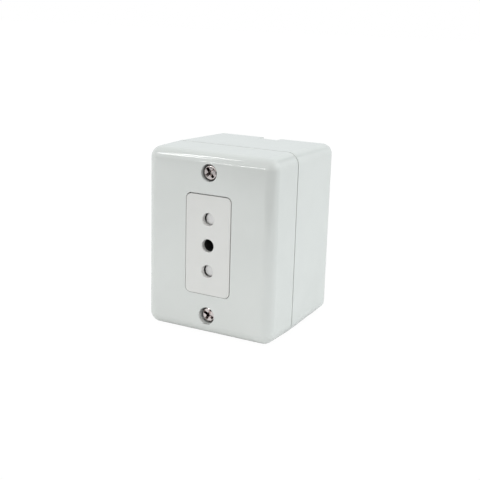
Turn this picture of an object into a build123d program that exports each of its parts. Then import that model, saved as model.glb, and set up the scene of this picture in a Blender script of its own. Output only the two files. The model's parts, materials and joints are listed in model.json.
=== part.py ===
from build123d import *
import math
import os

# A single surface wall socket for three round pins in line: a rear box on the wall,
# a screwed front cover, and a socket insert clipped into the cover from behind.
# Sizes are in millimetres. X runs to the right, Z up, and the front faces -Y.
# The wall plane is Y = 0, and a depth is a distance from the wall towards the room.

# Housing
housing_width = 52.0  # at the seam, where both mouldings are widest
screw_end_distance = 7.4  # from the housing's end to the middle of a cover screw
corner_radius = 4.5
box_depth = 31.0
cover_depth = 17.5
box_draft = 1.5  # degrees, narrower towards the wall
cover_draft = 1.0  # degrees, narrower towards the front
front_edge_radius = 4.0
rear_edge = 0.4
seam_edge = 0.2  # both rims are eased, which draws the seam line
wall = 2.4
floor = 2.4
cover_front = 2.4
rim_edge = 0.25  # easing of the window's and the screw recesses' rims
corner_flat = 0.7  # share of the corner radius that the hollow's flat corners take
cut_past = 1.0  # a cut runs this far past the face that it opens
tongue_height = 1.6  # ring on the box rim that enters the cover
tongue_thickness = 1.1
tongue_gap = 0.15
clip_gap = 0.15
clip_arm = 1.3
clip_nose = 0.9
clip_width = 6.0

# Plug interface
pin_pitch = 9.5
pin_hole = 4.7
pin_hole_edge = 0.25

# Socket insert, front moulding
face_overhang = 2.55  # how far the face reaches past the skirt at each end
face_corner = 1.9
face_edge = 0.3
face_recess = 0.1  # the insert sits this far behind the cover's front
face_thickness = 1.8
face_side_wall = 1.4
window_gap = 0.15
flange_side = 3.4  # how far the flange reaches past the face at each side
flange_end = 2.4
flange_thickness = 2.2
flange_wall = 1.2
skirt_step = 1.0  # the flange reaches past the skirt by this at each side
cheek_gap = 0.3
insert_to_sleeve = 1.35  # from the insert's flange to the cover's screw sleeves
skirt_wall = 1.0
skirt_depth = 5.2

# Socket insert, base moulding
base_plate = 3.2
base_front_wall = 1.8
base_housing_side = 3.9  # the housing is narrower than the skirt by this at each side
base_housing_step = 0.9  # the housing is shorter than the skirt by this at each end
base_housing_length = 19.5
base_pin_clearance = 0.25
guide_tube_wall = 0.5
contact_chamber = 6.4
terminal_chamber_length = 11.5
terminal_chamber_height = 7.0
ear_width = 11.0
ear_reach = 3.8
base_room = 0.15  # play of the pieces that lie in the base
rear_cover_thickness = 1.5
rear_cover_arm = 1.2
lug_width = 6.0
lug_length = 1.2
lug_rise = 0.6
lug_distance = 3.2  # from the housing's rear end to the lug
wire_hole = 4.0

# Shutter, which both plug poles push back and aside along slots at 45 degrees
shutter_clearance = 0.25
shutter_open_gap = 0.75  # from the open shutter to a pin hole's edge
shutter_gap = 0.3
shutter_stop = 0.4  # from the open shutter to the cavity's side
shutter_thickness = 2.1
shutter_spine = 1.4
shutter_plate_reach = 2.6  # past the centre of the pin hole, towards the end
button_rise = 0.45  # above the plate on the springs' side of the button
button_end_rise = 1.1  # above the plate on its other side
button_edge = 0.3
wing_length = 1.8
wing_width = 1.6
wing_reach = 1.7
wing_sink = 1.3  # from the shutter's front to the middle of its wings
wing_x = -0.4
cheek_thickness = 1.9
spring_radius = 1.1
spring_wire = 0.3
spring_turns = 3.0
spring_spare = 2.65  # length left when the shutter is fully open
spring_bore_gap = 0.2
spring_edge = 0.3  # shutter left between a spring bore and the plate's inner end
spring_seat_sink = 1.6  # from the shutter's front to the middle of the spring's seat
spring_seat_x = -1.2

# Contacts and terminals
sleeve_bore = 4.1
sleeve_thickness = 0.6
sleeve_length = 8.0
sleeve_setback = 0.3
sleeve_slit = 0.9
strip_thickness = 0.7
strip_width = 4.0
strip_overlap = 1.0  # length over which the strip joins the sleeve
mantle_length = 7.0
mantle_height = 6.2
mantle_wall = 0.8
mantle_thread_wall = 2.0
wire_space = 4.6
clamp_plate = 0.6
clamp_drop = 0.8  # from the mantle's threaded wall to the plate
clamp_side_gap = 0.15
clamp_end_gap = 0.5
terminal_screw_diameter = 3.0
terminal_head = 4.6
terminal_head_height = 1.7
terminal_head_lift = 1.2  # the head stands off the mantle while the clamp is open
terminal_setback = 1.5

# Fasteners
screw_diameter = 3.0
screw_length = 20.0
screw_head = 5.7
screw_head_height = 1.9
screw_head_sink = 1.6  # from the cover's front to the top of the head
upper_screw_lift = 0.6  # the upper cover screw isn't driven fully home
upper_screw_turn = 38.0  # degrees
lower_screw_turn = 62.0
counterbore = 6.2
screw_clearance = 0.4
sleeve_wall = 1.1
bush_diameter = 4.6
bush_length = 8.0
tower_diameter = 8.0
tower_start = 9.0
fit_gap = 0.03
base_screw_diameter = 1.8
base_screw_length = 11.5
base_screw_head = 3.4
base_screw_head_height = 1.3
base_screw_edge = 0.1  # from the skirt's end to the screw's shank

# Rear box openings
notch_width = 8.0
notch_depth = 4.5
cable_slot_length = 11.5
fixing_pitch = 32.0
fixing_hole = 4.4

# Worked out from the sizes above
front = box_depth + cover_depth
seat = front - cover_front
face_front = front - face_recess
face_inside = face_front - face_thickness
flange_back = seat - flange_thickness
base_front = flange_back - skirt_depth
base_plate_back = base_front - base_plate
base_back = base_plate_back - base_housing_length
chamber_front = base_front - base_front_wall
guide_tube = pin_hole + 2 * base_pin_clearance + 2 * guide_tube_wall
beside_tube = guide_tube / 2 + shutter_gap
shutter_throw = pin_hole - shutter_clearance + shutter_open_gap
cavity_half_width = beside_tube + shutter_spine + shutter_throw + shutter_stop
skirt_width = 2 * (cavity_half_width + skirt_wall)
base_housing_width = skirt_width - 2 * base_housing_side
flange_width = skirt_width + 2 * skirt_step
face_width = flange_width - 2 * flange_side
plate_end = pin_pitch + shutter_plate_reach
cavity_half_height = plate_end + shutter_gap + cheek_thickness + cheek_gap
skirt_height = 2 * (cavity_half_height + skirt_wall)
base_housing_height = skirt_height - 2 * base_housing_step
face_height = skirt_height + 2 * face_overhang
flange_height = face_height + 2 * flange_end
screw_sleeve = counterbore + 2 * sleeve_wall
screw_pitch = flange_height + 2 * insert_to_sleeve + screw_sleeve
housing_height = screw_pitch + 2 * screw_end_distance
shutter_front = face_inside - shutter_gap
shutter_back = shutter_front - shutter_thickness
diagonal = math.sqrt(0.5)
shutter_travel = shutter_throw / diagonal
screw_seat = front - screw_head_sink - screw_head_height
pole_heights = {"live": pin_pitch, "earth": 0.0, "neutral": -pin_pitch}


def facing_room(depth):
    """Plane parallel to the wall at this depth, its normal towards the room."""
    return Plane.XZ.offset(depth)


def facing_wall(depth):
    """Plane parallel to the wall at this depth, its normal towards the wall."""
    return Plane(origin=(0, -depth, 0), x_dir=(-1, 0, 0), z_dir=(0, 1, 0))


def block(x_range, depth_range, z_range):
    """Rectangular block between two values on each axis."""
    size = [max(r) - min(r) for r in (x_range, depth_range, z_range)]
    middle = [sum(r) / 2 for r in (x_range, depth_range, z_range)]
    return Pos(middle[0], -middle[1], middle[2]) * Box(*size)


def rod(x, z, diameter, depth_range):
    """Round bar square to the wall."""
    start = min(depth_range)
    section = facing_room(start) * Pos(x, z) * Circle(diameter / 2)
    return extrude(section, amount=max(depth_range) - start)


def rounded_slab(width, height, radius, depth_range):
    """Plate with rounded corners, parallel to the wall."""
    start = min(depth_range)
    section = facing_room(start) * RectangleRounded(width, height, radius)
    return extrude(section, amount=max(depth_range) - start)


def outline(inset):
    """Housing outline at the seam, moved inwards by this much."""
    return RectangleRounded(
        housing_width - 2 * inset, housing_height - 2 * inset, corner_radius - inset
    )


def inner_outline(inset):
    """Outline of the hollow at the seam, its corners flat so that the wall keeps its thickness."""
    sharp = Rectangle(housing_width - 2 * inset, housing_height - 2 * inset)
    return chamfer(sharp.vertices(), corner_flat * (corner_radius - inset))


def seam_ring(outer_inset, inner_inset, depth_range):
    """Band that follows the housing outline next to the seam."""
    start = min(depth_range)
    band = facing_room(start) * (outline(outer_inset) - inner_outline(inner_inset))
    return extrude(band, amount=max(depth_range) - start)


def depth_profile(points, z_range):
    """Prism along Z from points given as (x, depth)."""
    face = make_face(Polyline([(x, -depth) for x, depth in points], close=True))
    bottom = min(z_range)
    return extrude(Plane.XY.offset(bottom) * face, amount=max(z_range) - bottom)


def make_front_cover():
    """Drafted front shell with window, screw sleeves and clips for the insert."""
    body = extrude(facing_room(box_depth) * outline(0), amount=cover_depth, taper=cover_draft)
    body = fillet(body.faces().sort_by(Axis.Y)[0].edges(), front_edge_radius)
    body = chamfer(body.faces().sort_by(Axis.Y)[-1].edges(), seam_edge)
    hollow = extrude(
        facing_room(box_depth) * inner_outline(wall),
        amount=cover_depth - cover_front,
        taper=cover_draft,
    )
    hollow = chamfer(hollow.faces().sort_by(Axis.Y)[0].edges(), (front_edge_radius - wall) / 2)
    body -= hollow
    for side in (1, -1):
        z = side * screw_pitch / 2
        body += rod(0, z, screw_sleeve, (box_depth, seat))
        end_wall = side * (housing_height / 2 - wall / 2)
        body += block((-wall / 2, wall / 2), (box_depth, seat), (z, end_wall))
    window = rounded_slab(
        face_width + 2 * window_gap,
        face_height + 2 * window_gap,
        face_corner + window_gap,
        (seat, front),
    )
    body -= window
    for side in (1, -1):
        z = side * screw_pitch / 2
        body -= rod(0, z, counterbore, (screw_seat, front))
        body -= rod(0, z, screw_diameter + screw_clearance, (box_depth, screw_seat))
    rims = [rim.edges() for rim in body.faces().sort_by(Axis.Y)[0].inner_wires()]
    body = chamfer([edge for rim in rims for edge in rim], rim_edge)
    body -= seam_ring(
        wall - tongue_thickness - tongue_gap,
        wall + tongue_gap,
        (box_depth, box_depth + tongue_height + tongue_gap),
    )
    for side in (1, -1):
        for z in (-flange_height / 4, flange_height / 4):
            body += insert_clip(side, z)
    return body


def insert_clip(side, z):
    """Sprung hook behind the cover's front that holds the insert's flange."""
    inner = flange_width / 2 + clip_gap
    root = seat + cover_front / 2
    catch = flange_back - clip_gap
    tip = catch - 3 * clip_nose
    points = [
        (inner, root),
        (inner + clip_arm, root),
        (inner + clip_arm, tip),
        (inner, tip),
        (inner - clip_nose, catch - clip_nose),
        (inner - clip_nose, catch),
        (inner, catch),
    ]
    mirrored = [(side * x, depth) for x, depth in points]
    return depth_profile(mirrored, (z - clip_width / 2, z + clip_width / 2))


def make_back_box():
    """Drafted rear shell with screw towers, cable entries and wall fixings."""
    body = extrude(facing_wall(box_depth) * outline(0), amount=box_depth, taper=box_draft)
    body = chamfer(body.faces().sort_by(Axis.Y)[-1].edges(), rear_edge)
    body = chamfer(body.faces().sort_by(Axis.Y)[0].edges(), seam_edge)
    hollow = extrude(
        facing_wall(box_depth) * inner_outline(wall), amount=box_depth - floor, taper=box_draft
    )
    hollow = chamfer(hollow.faces().sort_by(Axis.Y)[-1].edges(), (corner_radius - wall) / 2)
    body -= hollow
    body += seam_ring(
        wall - tongue_thickness, wall, (box_depth - tongue_height, box_depth + tongue_height)
    )
    for side in (1, -1):
        body += screw_tower(side)
    for side in (1, -1):
        z = side * screw_pitch / 2
        body -= rod(0, z, bush_diameter + 2 * fit_gap, (box_depth - bush_length, box_depth))
        pilot_end = screw_seat - screw_length - screw_clearance
        body -= rod(0, z, screw_diameter + screw_clearance, (pilot_end, box_depth))
        body -= rod(side * fixing_pitch / 2, 0, fixing_hole, (0, floor))
        body -= cable_entry(side)
    return body


def screw_tower(side):
    """Tower for one cover screw, carried by the end wall above the cable slot."""
    z = side * screw_pitch / 2
    half = tower_diameter / 2
    tower = rod(0, z, tower_diameter, (tower_start, box_depth))
    end_wall = housing_height / 2 - wall / 2
    web = block((-half, half), (tower_start, box_depth), (z, side * end_wall))
    tip = depth_profile(
        [(-half, tower_start), (half, tower_start), (0, tower_start - half)],
        (z, side * end_wall),
    )
    shape = tower + web + tip
    return shape & extrude(
        facing_wall(box_depth) * outline(wall / 2), amount=box_depth, taper=box_draft
    )


def cable_entry(side):
    """Notch in the end wall at the wall plane, and the slot in the floor beside it."""
    edge = housing_height / 2
    end_centre = edge - cable_slot_length + notch_width / 2
    half = notch_width / 2
    outside = side * (edge + cut_past)
    through_floor = (-cut_past, floor + cut_past / 2)
    notch = block((-half, half), (-cut_past, notch_depth), (side * (edge - 2 * wall), outside))
    slot = block((-half, half), through_floor, (side * end_centre, outside))
    return notch + slot + rod(0, side * end_centre, notch_width, through_floor)


def make_socket_face():
    """Front moulding of the insert, with the pin holes and the shutter's room."""
    body = rounded_slab(face_width, face_height, face_corner, (flange_back, face_front))
    body = chamfer(body.faces().sort_by(Axis.Y)[0].edges(), face_edge)
    body += rounded_slab(flange_width, flange_height, face_corner, (flange_back, seat))
    skirt_x = (-skirt_width / 2, skirt_width / 2)
    body += block(skirt_x, (base_front, flange_back), (-skirt_height / 2, skirt_height / 2))
    body -= block(
        (-cavity_half_width, cavity_half_width),
        (base_front, seat - flange_wall),
        (-cavity_half_height, cavity_half_height),
    )
    inner = face_width / 2 - face_side_wall
    body -= block((-inner, inner), (flange_back, face_inside), (-cavity_half_height, cavity_half_height))
    for z in pole_heights.values():
        body -= rod(0, z, pin_hole, (flange_back, face_front))
    rims = [rim.edges() for rim in body.faces().sort_by(Axis.Y)[0].inner_wires()]
    body = chamfer([edge for rim in rims for edge in rim], pin_hole_edge)
    for side in (1, -1):
        z = side * base_screw_height()
        tip = base_plate_back + base_screw_length
        body -= rod(0, z, base_screw_diameter + 2 * fit_gap, (flange_back, tip + fit_gap))
    return body


def base_screw_height():
    """Height of the screws that join the two insert mouldings."""
    return skirt_height / 2 + base_screw_diameter / 2 + base_screw_edge


def terminal_zone():
    """Depth range of the wide rear part of each contact chamber."""
    return (base_back, base_back + terminal_chamber_length)


def mantle_faces():
    """Outer X limits of a terminal mantle."""
    window_start = -sleeve_bore / 2 - sleeve_thickness
    return (window_start - mantle_wall, window_start + wire_space + mantle_thread_wall)


def make_socket_base():
    """Rear moulding of the insert: contact chambers, earth pin guide, shutter slots, spring seats."""
    plate_x = (-skirt_width / 2, skirt_width / 2)
    plate_z = (-skirt_height / 2, skirt_height / 2)
    body = block(plate_x, (base_plate_back, base_front), plate_z)
    housing_x = (-base_housing_width / 2, base_housing_width / 2)
    housing_z = (-base_housing_height / 2, base_housing_height / 2)
    body += block(housing_x, (base_back, base_plate_back), housing_z)
    body += rod(0, 0, guide_tube, (base_front, face_inside - base_room))
    for side in (1, -1):
        ear_ends = (side * skirt_height / 2, side * (skirt_height / 2 + ear_reach))
        body += block((-ear_width / 2, ear_width / 2), (base_plate_back, flange_back), ear_ends)
        z_range = (side * (plate_end + shutter_gap), side * (plate_end + shutter_gap + cheek_thickness))
        cheek = block(
            (-(face_width / 2 - face_side_wall - shutter_gap), cavity_half_width - shutter_gap),
            (base_front, seat - flange_wall - shutter_gap),
            z_range,
        )
        body += cheek
        body -= wing_slot((side * (plate_end - shutter_gap), z_range[1]))
        screw_z = side * base_screw_height()
        body -= rod(0, screw_z, base_screw_diameter + 2 * base_room, (base_plate_back, flange_back))
        body -= spring_bore(side)
    low_x, high_x = mantle_faces()
    for z in pole_heights.values():
        half_height = terminal_chamber_height / 2
        mantle_room = (low_x - base_room, high_x + base_room)
        body -= block(mantle_room, terminal_zone(), (z - half_height, z + half_height))
        half = contact_chamber / 2
        body -= block((-half, half), (base_back, chamber_front), (z - half, z + half))
        body -= rod(0, z, pin_hole + 2 * base_pin_clearance, (chamber_front, face_inside))
        access = Plane(origin=(high_x, -terminal_middle(), z), x_dir=(0, 1, 0), z_dir=(1, 0, 0))
        body -= extrude(access * Circle(terminal_head / 2 + 2 * base_room), amount=base_housing_width)
    for side in (1, -1):
        body -= rear_lug(side, base_room)
    return body


def terminal_middle():
    """Depth of the terminal screws."""
    return base_back + terminal_setback + mantle_length / 2


def along_slot(distance, across):
    """Point as (x, depth): down the 45 degree slot, and across it towards the room."""
    x = wing_x + diagonal * (distance + across)
    depth = shutter_front - wing_sink + diagonal * (across - distance)
    return (x, depth)


def wing_shape(start, end, half_width, z_range):
    """Bar lying along the 45 degree slot."""
    corners = [
        along_slot(start, -half_width),
        along_slot(end, -half_width),
        along_slot(end, half_width),
        along_slot(start, half_width),
    ]
    return depth_profile(corners, z_range)


def wing_slot(z_range):
    """Room that a shutter wing sweeps, with its clearance."""
    reach = wing_length / 2 + shutter_gap
    return wing_shape(-reach, shutter_travel + reach, wing_width / 2 + shutter_gap, z_range)


def spring_plane(side):
    """Plane at the spring's seat in the shutter, its normal along the slot."""
    z = side * spring_height()
    start = (spring_seat_x, spring_seat_sink - shutter_front, z)
    return Plane(origin=start, x_dir=(0, 0, 1), z_dir=(diagonal, diagonal, 0))


def spring_height():
    """Height of the springs, between the pin holes."""
    return beside_tube + spring_edge + spring_bore_gap + spring_radius


def spring_length():
    """Length of a spring while the shutter is closed."""
    return shutter_travel + spring_spare


def spring_bore(side):
    """Round pocket for one spring, open towards the shutter."""
    section = spring_plane(side) * Circle(spring_radius + spring_bore_gap)
    return extrude(section, amount=spring_length())


def make_shutter():
    """Sliding shutter: two plates over the outer holes, on one spine."""
    button_radius = pin_hole / 2 - shutter_clearance
    plate_x = (-button_radius, beside_tube)
    depths = (shutter_back, shutter_front)
    body = block((beside_tube, beside_tube + shutter_spine), depths, (-plate_end, plate_end))
    for side in (1, -1):
        inner_depths = (shutter_back, shutter_front - button_rise)
        body += block(plate_x, inner_depths, (side * beside_tube, side * pin_pitch))
        end_depths = (shutter_back, shutter_front - button_end_rise)
        body += block(plate_x, end_depths, (side * pin_pitch, side * plate_end))
        button = rod(0, side * pin_pitch, 2 * button_radius, depths)
        body += chamfer(button.faces().sort_by(Axis.Y)[0].edges(), button_edge)
        wing_ends = (side * plate_end, side * (plate_end + wing_reach))
        body += wing_shape(-wing_length / 2, wing_length / 2, wing_width / 2, wing_ends)
        body -= spring_bore(side)
    return body


def make_spring(side):
    """Compression spring that returns the shutter."""
    pitch = (spring_length() - spring_wire) / spring_turns
    centre_radius = spring_radius - spring_wire / 2
    path = Helix(pitch, pitch * spring_turns, centre_radius)
    start = Plane(path @ 0, z_dir=path % 0)
    coil = sweep(start * RegularPolygon(spring_wire / 2, 4), path=path, is_frenet=True)
    seat_plane = spring_plane(side)
    return seat_plane * Pos(0, 0, spring_wire / 2) * coil


def make_contact(z):
    """Rolled and slit contact sleeve with its flat tail."""
    sleeve_front = chamber_front - sleeve_setback
    sleeve_back = sleeve_front - sleeve_length
    outer = sleeve_bore + 2 * sleeve_thickness
    tail_end = base_back + terminal_setback
    tail_x = -outer / 2
    body = rod(0, z, outer, (sleeve_back, sleeve_front))
    body += block(
        (tail_x, tail_x + strip_thickness),
        (tail_end, sleeve_back + strip_overlap),
        (z - strip_width / 2, z + strip_width / 2),
    )
    body -= rod(0, z, sleeve_bore, (sleeve_back, sleeve_front))
    body -= block((0, outer), (sleeve_back, sleeve_front), (z - sleeve_slit / 2, z + sleeve_slit / 2))
    return body


def make_mantle(z):
    """Brass clamp frame round the contact's tail."""
    low_x, high_x = mantle_faces()
    depths = (terminal_middle() - mantle_length / 2, terminal_middle() + mantle_length / 2)
    half = mantle_height / 2
    body = block((low_x, high_x), depths, (z - half, z + half))
    body -= block(
        (low_x + mantle_wall, low_x + mantle_wall + wire_space),
        depths,
        (z - half + mantle_wall, z + half - mantle_wall),
    )
    return body - screw_bore(z, terminal_screw_diameter + 2 * fit_gap)


def screw_bore(z, diameter):
    """Hole through the mantle's threaded wall."""
    start = mantle_faces()[1] - 1.5 * mantle_thread_wall
    plane = Plane(origin=(start, -terminal_middle(), z), x_dir=(0, 1, 0), z_dir=(1, 0, 0))
    return extrude(plane * Circle(diameter / 2), amount=2 * mantle_thread_wall)


def clamp_plate_range():
    """X limits of the pressure plate under a terminal screw."""
    outer = mantle_faces()[1] - mantle_thread_wall - clamp_drop
    return (outer - clamp_plate, outer)


def make_clamp_plate(z):
    """Small plate that the terminal screw presses on the wire."""
    half_height = mantle_height / 2 - mantle_wall - clamp_side_gap
    half_length = mantle_length / 2 - clamp_end_gap
    depths = (terminal_middle() - half_length, terminal_middle() + half_length)
    return block(clamp_plate_range(), depths, (z - half_height, z + half_height))


def slotted_screw(diameter, length, head, head_height):
    """Cheese head screw on the local Z axis, its head above the origin."""
    body = extrude(Circle(head / 2), amount=head_height)
    body += extrude(Circle(diameter / 2), amount=-length)
    slot = Box(head, head / 6, head_height / 2, align=(Align.CENTER, Align.CENTER, Align.MAX))
    return body - Pos(0, 0, head_height) * slot


def cross_screw(diameter, length, head, head_height, turn):
    """Screw on the local Z axis, with a cross recess in its head."""
    body = extrude(Circle(head / 2), amount=head_height)
    body += extrude(Circle(diameter / 2), amount=-length)
    arm = head * 0.3
    tip = arm / 3
    recess_end = head_height / 8
    top = [(-arm, head_height), (arm, head_height)]
    wing = Polyline(*top, (tip, recess_end), (-tip, recess_end), close=True)
    blade = extrude(Plane.XZ * make_face(wing), amount=head / 13, both=True)
    for angle in (turn, turn + 90):
        body -= Rot(0, 0, angle) * blade
    return body


def make_cover_screw(side, turn, lift):
    body = cross_screw(screw_diameter, screw_length, screw_head, screw_head_height, turn)
    return facing_room(screw_seat + lift) * Pos(0, side * screw_pitch / 2) * body


def make_bush(side):
    """Brass bush pressed into a tower."""
    z = side * screw_pitch / 2
    depths = (box_depth - bush_length, box_depth)
    body = rod(0, z, bush_diameter, depths)
    return body - rod(0, z, screw_diameter + 2 * fit_gap, depths)


def make_base_screw(side):
    body = slotted_screw(
        base_screw_diameter, base_screw_length, base_screw_head, base_screw_head_height
    )
    return facing_wall(base_plate_back) * Pos(0, side * base_screw_height()) * body


def make_terminal_screw(z):
    tip = clamp_plate_range()[1]
    length = mantle_faces()[1] + terminal_head_lift - tip
    body = slotted_screw(terminal_screw_diameter, length, terminal_head, terminal_head_height)
    plane = Plane(origin=(tip + length, -terminal_middle(), z), x_dir=(0, 1, 0), z_dir=(1, 0, 0))
    return plane * body


def rear_lug(side, room):
    """Snap lug of the rear cover, or with room its recess in the housing."""
    edge = side * base_housing_height / 2
    half = lug_width / 2 + room
    start = base_back + lug_distance
    depths = (start - room, start + lug_length + room)
    return block((-half, half), depths, (edge, edge - side * (lug_rise + room)))


def make_rear_cover():
    """Snap-on plate behind the terminals, with a hole for each wire."""
    depths = (base_back - rear_cover_thickness, base_back)
    height = base_housing_height + 2 * rear_cover_arm
    half = base_housing_width / 2
    body = block((-half, half), depths, (-height / 2, height / 2))
    arm_depths = (depths[0], base_back + lug_distance + lug_length)
    for side in (1, -1):
        edge = side * base_housing_height / 2
        body += block((-lug_width / 2, lug_width / 2), arm_depths, (edge, edge + side * rear_cover_arm))
        body += rear_lug(side, 0)
    for z in pole_heights.values():
        body -= rod(wire_middle(), z, wire_hole, depths)
    return body


def wire_middle():
    """X of the wire space, between the contact's tail and the pressure plate."""
    return (mantle_faces()[0] + mantle_wall + strip_thickness + clamp_plate_range()[0]) / 2


parts = {
    "back_box": make_back_box(),
    "front_cover": make_front_cover(),
    "socket_face": make_socket_face(),
    "socket_base": make_socket_base(),
    "socket_rear_cover": make_rear_cover(),
    "shutter": make_shutter(),
    "shutter_spring_upper": make_spring(1),
    "shutter_spring_lower": make_spring(-1),
    "cover_screw_top": make_cover_screw(1, upper_screw_turn, upper_screw_lift),
    "cover_screw_bottom": make_cover_screw(-1, lower_screw_turn, 0),
    "screw_bush_top": make_bush(1),
    "screw_bush_bottom": make_bush(-1),
    "base_screw_top": make_base_screw(1),
    "base_screw_bottom": make_base_screw(-1),
}
for pole, height in pole_heights.items():
    parts[f"contact_{pole}"] = make_contact(height)
    parts[f"terminal_{pole}"] = make_mantle(height)
    parts[f"clamp_plate_{pole}"] = make_clamp_plate(height)
    parts[f"terminal_screw_{pole}"] = make_terminal_screw(height)

os.makedirs("parts", exist_ok=True)
for name, shape in parts.items():
    export_step(shape, f"parts/{name}.step")
    print(name, len(shape.solids()), round(shape.volume, 1))
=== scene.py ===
# %% [markdown]
# A single wall socket in a surface box. The CAD model is loaded as a fixed frame: it says
# where every piece is and what moves. This lesson dresses that frame. Each step first says
# what the piece or finish is on the real object and why it is made in the way it is.

# %% Load the frame
import bpy
import bmesh
import json
import math
from mathutils import Matrix, Vector


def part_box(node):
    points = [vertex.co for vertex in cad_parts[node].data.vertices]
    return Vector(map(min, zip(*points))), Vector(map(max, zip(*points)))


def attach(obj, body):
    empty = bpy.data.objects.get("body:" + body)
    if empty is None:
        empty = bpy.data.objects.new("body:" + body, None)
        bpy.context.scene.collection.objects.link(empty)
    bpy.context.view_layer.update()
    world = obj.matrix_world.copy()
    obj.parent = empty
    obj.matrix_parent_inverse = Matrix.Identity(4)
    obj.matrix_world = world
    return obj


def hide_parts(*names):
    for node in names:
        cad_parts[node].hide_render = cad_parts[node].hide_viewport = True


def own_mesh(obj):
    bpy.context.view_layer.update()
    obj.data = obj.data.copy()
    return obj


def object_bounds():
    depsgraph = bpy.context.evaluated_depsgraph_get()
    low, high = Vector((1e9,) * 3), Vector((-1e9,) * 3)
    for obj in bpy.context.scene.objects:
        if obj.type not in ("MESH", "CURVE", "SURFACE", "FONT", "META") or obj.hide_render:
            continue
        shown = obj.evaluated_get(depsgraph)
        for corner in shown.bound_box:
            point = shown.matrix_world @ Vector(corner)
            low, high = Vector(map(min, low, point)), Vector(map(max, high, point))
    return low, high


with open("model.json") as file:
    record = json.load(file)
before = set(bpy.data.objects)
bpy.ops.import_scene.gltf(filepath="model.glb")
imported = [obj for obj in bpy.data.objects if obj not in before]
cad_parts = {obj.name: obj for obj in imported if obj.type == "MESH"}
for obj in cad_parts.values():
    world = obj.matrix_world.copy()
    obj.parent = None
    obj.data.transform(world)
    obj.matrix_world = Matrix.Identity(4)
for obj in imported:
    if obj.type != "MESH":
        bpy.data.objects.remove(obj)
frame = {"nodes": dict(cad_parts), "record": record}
cad_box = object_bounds()
MM = 0.001
HOUSING = "housing"
SHUTTER = "shutter"
print("box in mm", [[round(v / MM, 1) for v in corner] for corner in cad_box])

# %% [markdown]
# The camera stands a little above the socket and to its right, about a third of a metre
# away. It could be moved by eye until the picture fits. A fit to sixty edges and corners is
# more exact, and gave its place, its turn, its tilt and a slight roll, and the focal length
# in pixels of a 480 pixel wide picture, which becomes a lens on a 36 mm sensor.

# %% Camera
PICTURE_WIDTH = 480
SENSOR = 36.0
CAMERA_PLACE = Vector((156.95, -314.0, 83.71)) * MM
CAMERA_TURN = 28.465
CAMERA_TILT = 14.756
CAMERA_ROLL = 1.577
FOCAL_PIXELS = 905.2

camera = bpy.data.objects.new("camera", bpy.data.cameras.new("camera"))
bpy.context.scene.collection.objects.link(camera)
camera.data.sensor_width = SENSOR
camera.data.lens = FOCAL_PIXELS / PICTURE_WIDTH * SENSOR
camera.data.clip_start = 10 * MM
camera.matrix_world = (
    Matrix.Translation(CAMERA_PLACE)
    @ Matrix.Rotation(math.radians(CAMERA_TURN), 4, "Z")
    @ Matrix.Rotation(math.radians(90 - CAMERA_TILT), 4, "X")
    @ Matrix.Rotation(math.radians(CAMERA_ROLL), 4, "Z")
)
bpy.context.scene.camera = camera
print("lens in mm", round(camera.data.lens, 1))

# %% [markdown]
# Colours are written as the hex values of a paint chart. A shader needs them linear, so
# one function turns them. Nodes could be wired by hand in the editor, but then the lesson
# couldn't be run again. So one small function adds a node with its settings and links, and
# a short form of it gives back the new node's first output. Every material, the tent and
# the generators of screws and springs are built with these two.

# %% Colour and node helpers
def linear(code):
    """Linear colour with alpha from an sRGB hex value such as #E6E7E4."""
    channels = [int(code[i:i + 2], 16) / 255 for i in (1, 3, 5)]
    curve = [c / 12.92 if c <= 0.04045 else ((c + 0.055) / 1.055) ** 2.4 for c in channels]
    return (*curve, 1.0)


def add_node(tree, kind, settings=None, inputs=None):
    """Adds a node. An input is a value, or a socket that is linked to it."""
    node = tree.nodes.new(kind)
    for name, value in (settings or {}).items():
        setattr(node, name, value)
    for name, value in (inputs or {}).items():
        if isinstance(value, bpy.types.NodeSocket):
            tree.links.new(value, node.inputs[name])
        else:
            node.inputs[name].default_value = value
    return node


def result(tree, kind, *values, **settings):
    """First output of a new node that takes these values in the order of its inputs."""
    return add_node(tree, kind, settings, dict(enumerate(values))).outputs[0]


def new_material(name):
    """Empty material with its node tree and object coordinates."""
    material = bpy.data.materials.new(name)
    material.use_nodes = True
    material.node_tree.nodes.clear()
    tree = material.node_tree
    place = add_node(tree, "ShaderNodeTexCoord").outputs["Object"]
    return material, tree, place


def grey(level):
    """Neutral colour of this linear level."""
    return (level, level, level, 1.0)


print("the housing's white, linear", [round(c, 3) for c in linear("#E6E7E4")[:3]])

# %% [markdown]
# The product stands in a light tent, whose cloth glows evenly. Round the lens the tent is
# open and dark. A glossy moulding shows that gap on its rounded edges, so it matters. A
# picture of a studio could be wrapped round the world instead, but here every part of the
# tent is a number that can be changed.

# %% Light tent, cloth and lens gap
CLOTH_GLOW = 0.79
LENS_GAP_GLOW = 0.1 * CLOTH_GLOW
LENS_GAP_PLACE = (297, 8)
LENS_GAP_EDGE, LENS_GAP_CORE = 0.80, 0.93
COOL, WARM, PLAIN = "#F9FEFF", "#FFFCF8", "#FFFFFF"


def direction_to(azimuth, elevation):
    """Unit vector from degrees: azimuth from +X towards +Y, elevation from the floor up."""
    a, e = math.radians(azimuth), math.radians(elevation)
    return Vector((math.cos(a) * math.cos(e), math.sin(a) * math.cos(e), math.sin(e)))


world = bpy.data.worlds.new("light_tent")
bpy.context.scene.world = world
world.use_nodes = True
tent = world.node_tree
tent.nodes.clear()
look = add_node(tent, "ShaderNodeTexCoord").outputs["Generated"]


def facing(azimuth, elevation):
    """How closely a ray of the tent points in this direction, from -1 to 1."""
    return add_node(tent, "ShaderNodeVectorMath", {"operation": "DOT_PRODUCT"}, {
        0: look, 1: direction_to(azimuth, elevation),
    }).outputs["Value"]


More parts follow.
